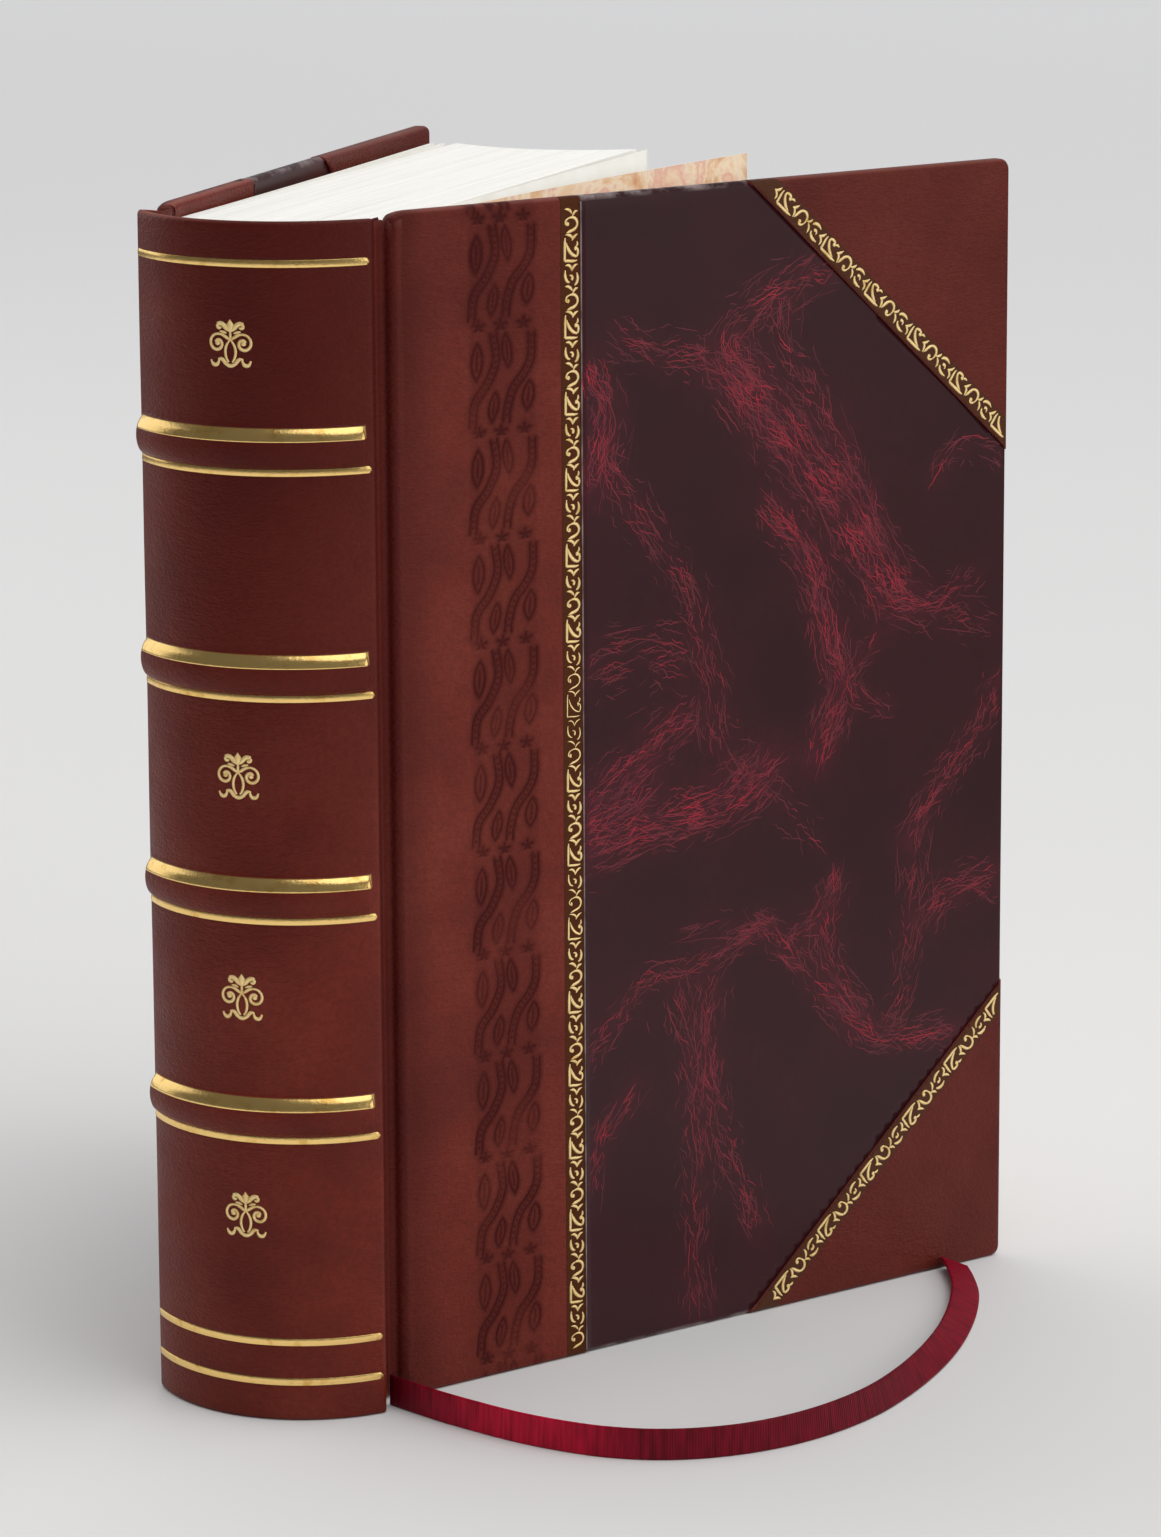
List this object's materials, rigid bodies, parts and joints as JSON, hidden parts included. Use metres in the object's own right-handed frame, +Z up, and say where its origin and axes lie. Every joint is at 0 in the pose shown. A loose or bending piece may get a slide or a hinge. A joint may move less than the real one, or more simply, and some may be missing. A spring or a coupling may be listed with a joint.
{
  "type": "antique leather book",
  "caption": "Half-leather case-bound book standing on its tail, with raised bands, gold tooling, marbled paper sides, hinged covers and a ribbon marker.",
  "frame": {"origin": "bottom centre of the box round the standing book, without its ribbon", "axes": "+Z up from tail to head, +Y from the spine to the fore-edge, +X to the front cover"},
  "size_m": [0.1561, 0.1804, 0.24],
  "materials": {
    "page_paper": "cut edges of uncoated book paper",
    "end_paper": "marbled endpaper, tan, cream on its back",
    "marbled_paper": "satin marbled paper, black-burgundy with crimson veins",
    "lining_cloth": "open cotton lining under glue",
    "grey_card": "grey bookbinding board",
    "red_leather": "fine-grained red-brown leather, semi-gloss",
    "gold_tooling": "gold leaf pressed into the leather",
    "ribbon_cloth": "woven satin ribbon"
  },
  "bodies": {
    "book_block": {"text_block": "page_paper", "spine_lining": "lining_cloth", "spine_card": "grey_card", "band_1": "grey_card", "band_2": "grey_card", "band_3": "grey_card", "band_4": "grey_card", "spine_leather": "red_leather", "spine_gold": "gold_tooling", "front_flyleaf": "page_paper", "back_flyleaf": "page_paper", "front_free_endpaper": "end_paper", "back_free_endpaper": "end_paper", "ribbon_marker": "ribbon_cloth"},
    "front_cover": {"front_board": "grey_card", "front_side_leather": "red_leather", "front_head_corner": "red_leather", "front_tail_corner": "red_leather", "front_side_paper": "marbled_paper", "front_pastedown": "end_paper", "front_gold": "gold_tooling"},
    "back_cover": {"back_board": "grey_card", "back_side_leather": "red_leather", "back_head_corner": "red_leather", "back_tail_corner": "red_leather", "back_side_paper": "marbled_paper", "back_pastedown": "end_paper", "back_gold": "gold_tooling"}
  },
  "joints": [
    {"name": "front_cover_hinge", "type": "hinge", "parent": "book_block", "child": "front_cover", "pos_m": [-0.01505, -0.06462, 0.12], "axis": [0, 0, -1], "range_deg": [-34, 129], "deforming": ["front_flyleaf", "front_free_endpaper", "ribbon_marker"]},
    {"name": "back_cover_hinge", "type": "hinge", "parent": "book_block", "child": "back_cover", "pos_m": [-0.06293, -0.06462, 0.12], "axis": [0, 0, 1], "range_deg": [-3, 160], "deforming": ["back_flyleaf", "back_free_endpaper"]}
  ]
}
